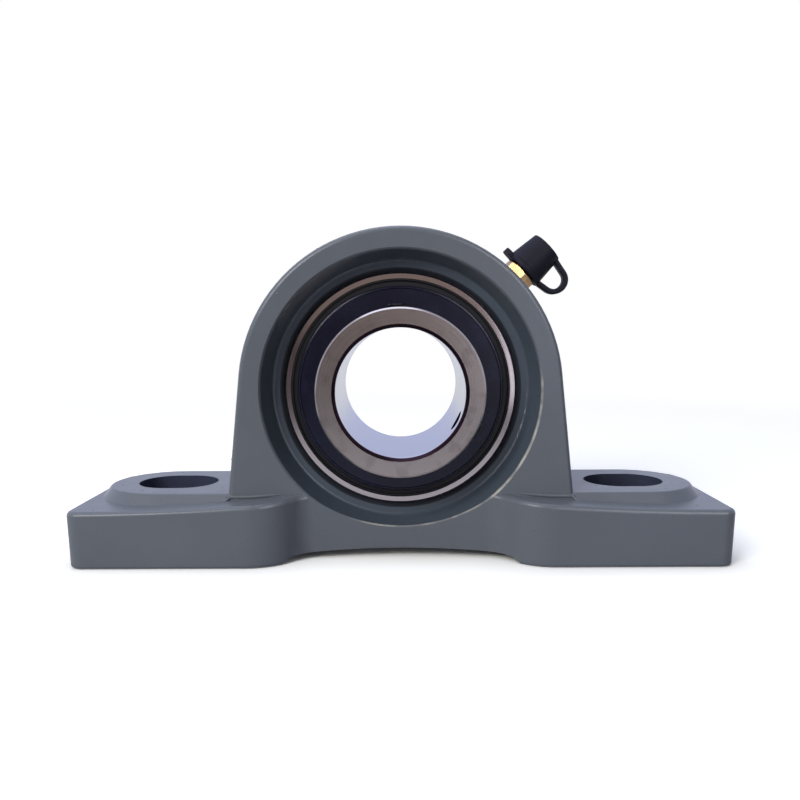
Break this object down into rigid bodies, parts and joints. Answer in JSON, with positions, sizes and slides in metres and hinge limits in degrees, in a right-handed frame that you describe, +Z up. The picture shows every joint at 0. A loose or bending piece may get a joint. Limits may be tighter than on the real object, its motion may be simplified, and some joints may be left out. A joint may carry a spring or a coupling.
{
  "type": "pillow block bearing",
  "caption": "Foot-mounted cast housing with a spherical seat holding a sealed, self-aligning ball bearing insert, two set screws and a capped grease fitting.",
  "frame": {"origin": "on the base plane, below the middle of the balls, halfway between the two bolt slots", "axes": "+X along the base, +Y along the shaft towards the short end of the inner ring, +Z up from the mounting face"},
  "size_m": [0.1648, 0.048, 0.084],
  "materials": {
    "housing_iron": "satin grey paint over cast iron",
    "ring_steel": "ground bearing steel",
    "ball_steel": "polished bearing steel",
    "cage_steel": "pressed steel strip",
    "seal_steel": "black coated pressed steel",
    "seal_rubber": "matt black nitrile rubber",
    "screw_steel": "black oxide",
    "fitting_brass": "yellow passivated",
    "spring_steel": "drawn wire",
    "cap_plastic": "soft black plastic"
  },
  "bodies": {
    "block": {"housing": "housing_iron", "grease_fitting_body": "fitting_brass", "grease_fitting_spring": "spring_steel"},
    "aligning_ring": {"outer_ring": "ring_steel", "seal_plate_front": "seal_steel", "seal_plate_rear": "seal_steel", "seal_rubber_front": "seal_rubber", "seal_rubber_rear": "seal_rubber"},
    "shaft_ring": {"inner_ring": "ring_steel", "slinger_front": "seal_steel", "slinger_rear": "seal_steel"},
    "cage": {"cage_front": "cage_steel", "cage_rear": "cage_steel", "cage_rivets": "cage_steel"},
    "screw_1": {"set_screw_1": "screw_steel"},
    "screw_2": {"set_screw_2": "screw_steel"},
    "dust_cap": {"grease_cap": "cap_plastic", "cap_tether": "cap_plastic"},
    "check_ball": {"grease_fitting_ball": "ball_steel"},
    "rolling_ball_1": {"ball_1": "ball_steel"},
    "rolling_ball_2": {"ball_2": "ball_steel"},
    "rolling_ball_3": {"ball_3": "ball_steel"},
    "rolling_ball_4": {"ball_4": "ball_steel"},
    "rolling_ball_5": {"ball_5": "ball_steel"},
    "rolling_ball_6": {"ball_6": "ball_steel"},
    "rolling_ball_7": {"ball_7": "ball_steel"},
    "rolling_ball_8": {"ball_8": "ball_steel"},
    "rolling_ball_9": {"ball_9": "ball_steel"}
  },
  "joints": [
    {"name": "insert_align", "type": "hinge", "parent": "block", "child": "aligning_ring", "pos_m": [0, 0, 0.0429], "axis": [0, 0, 1], "range_deg": [-5, 5]},
    {"name": "shaft_spin", "type": "hinge", "parent": "aligning_ring", "child": "shaft_ring", "pos_m": [0, 0, 0.0429], "axis": [0, 1, 0], "continuous": true},
    {"name": "cage_orbit", "type": "hinge", "parent": "aligning_ring", "child": "cage", "pos_m": [0, 0, 0.0429], "axis": [0, 1, 0], "continuous": true},
    {"name": "ball_1_spin", "type": "hinge", "parent": "cage", "child": "rolling_ball_1", "pos_m": [0, 0, 0.0659], "axis": [0, 1, 0], "continuous": true},
    {"name": "ball_2_spin", "type": "hinge", "parent": "cage", "child": "rolling_ball_2", "pos_m": [-0.01478, 0, 0.06052], "axis": [0, 1, 0], "continuous": true},
    {"name": "ball_3_spin", "type": "hinge", "parent": "cage", "child": "rolling_ball_3", "pos_m": [-0.02265, 0, 0.04689], "axis": [0, 1, 0], "continuous": true},
    {"name": "ball_4_spin", "type": "hinge", "parent": "cage", "child": "rolling_ball_4", "pos_m": [-0.01992, 0, 0.0314], "axis": [0, 1, 0], "continuous": true},
    {"name": "ball_5_spin", "type": "hinge", "parent": "cage", "child": "rolling_ball_5", "pos_m": [-0.00787, 0, 0.02129], "axis": [0, 1, 0], "continuous": true},
    {"name": "ball_6_spin", "type": "hinge", "parent": "cage", "child": "rolling_ball_6", "pos_m": [0.00787, 0, 0.02129], "axis": [0, 1, 0], "continuous": true},
    {"name": "ball_7_spin", "type": "hinge", "parent": "cage", "child": "rolling_ball_7", "pos_m": [0.01992, 0, 0.0314], "axis": [0, 1, 0], "continuous": true},
    {"name": "ball_8_spin", "type": "hinge", "parent": "cage", "child": "rolling_ball_8", "pos_m": [0.02265, 0, 0.04689], "axis": [0, 1, 0], "continuous": true},
    {"name": "ball_9_spin", "type": "hinge", "parent": "cage", "child": "rolling_ball_9", "pos_m": [0.01478, 0, 0.06052], "axis": [0, 1, 0], "continuous": true},
    {"name": "set_screw_1_drive", "type": "slide", "parent": "shaft_ring", "child": "screw_1", "axis": [-0.8829, 0, 0.4695], "range_m": [-0.003, 0.0006]},
    {"name": "set_screw_2_drive", "type": "slide", "parent": "shaft_ring", "child": "screw_2", "axis": [0.0349, 0, -0.9994], "range_m": [-0.003, 0.0006]},
    {"name": "cap_pull", "type": "slide", "parent": "block", "child": "dust_cap", "axis": [0.7278, 0, 0.6858], "range_m": [0, 0.009], "deforming": ["cap_tether"]},
    {"name": "check_ball_press", "type": "slide", "parent": "block", "child": "check_ball", "axis": [-0.7278, 0, -0.6858], "range_m": [0, 0.0008], "stiffness_N_per_m": 300, "springref_m": -0.002, "deforming": ["grease_fitting_spring"]}
  ],
  "couplings": [
    {"joint": "cage_orbit", "follows": "shaft_spin", "ratio": 0.39647},
    {"joint": "ball_1_spin", "follows": "shaft_spin", "ratio": -2.3112},
    {"joint": "ball_2_spin", "follows": "shaft_spin", "ratio": -2.3112},
    {"joint": "ball_3_spin", "follows": "shaft_spin", "ratio": -2.3112},
    {"joint": "ball_4_spin", "follows": "shaft_spin", "ratio": -2.3112},
    {"joint": "ball_5_spin", "follows": "shaft_spin", "ratio": -2.3112},
    {"joint": "ball_6_spin", "follows": "shaft_spin", "ratio": -2.3112},
    {"joint": "ball_7_spin", "follows": "shaft_spin", "ratio": -2.3112},
    {"joint": "ball_8_spin", "follows": "shaft_spin", "ratio": -2.3112},
    {"joint": "ball_9_spin", "follows": "shaft_spin", "ratio": -2.3112}
  ]
}
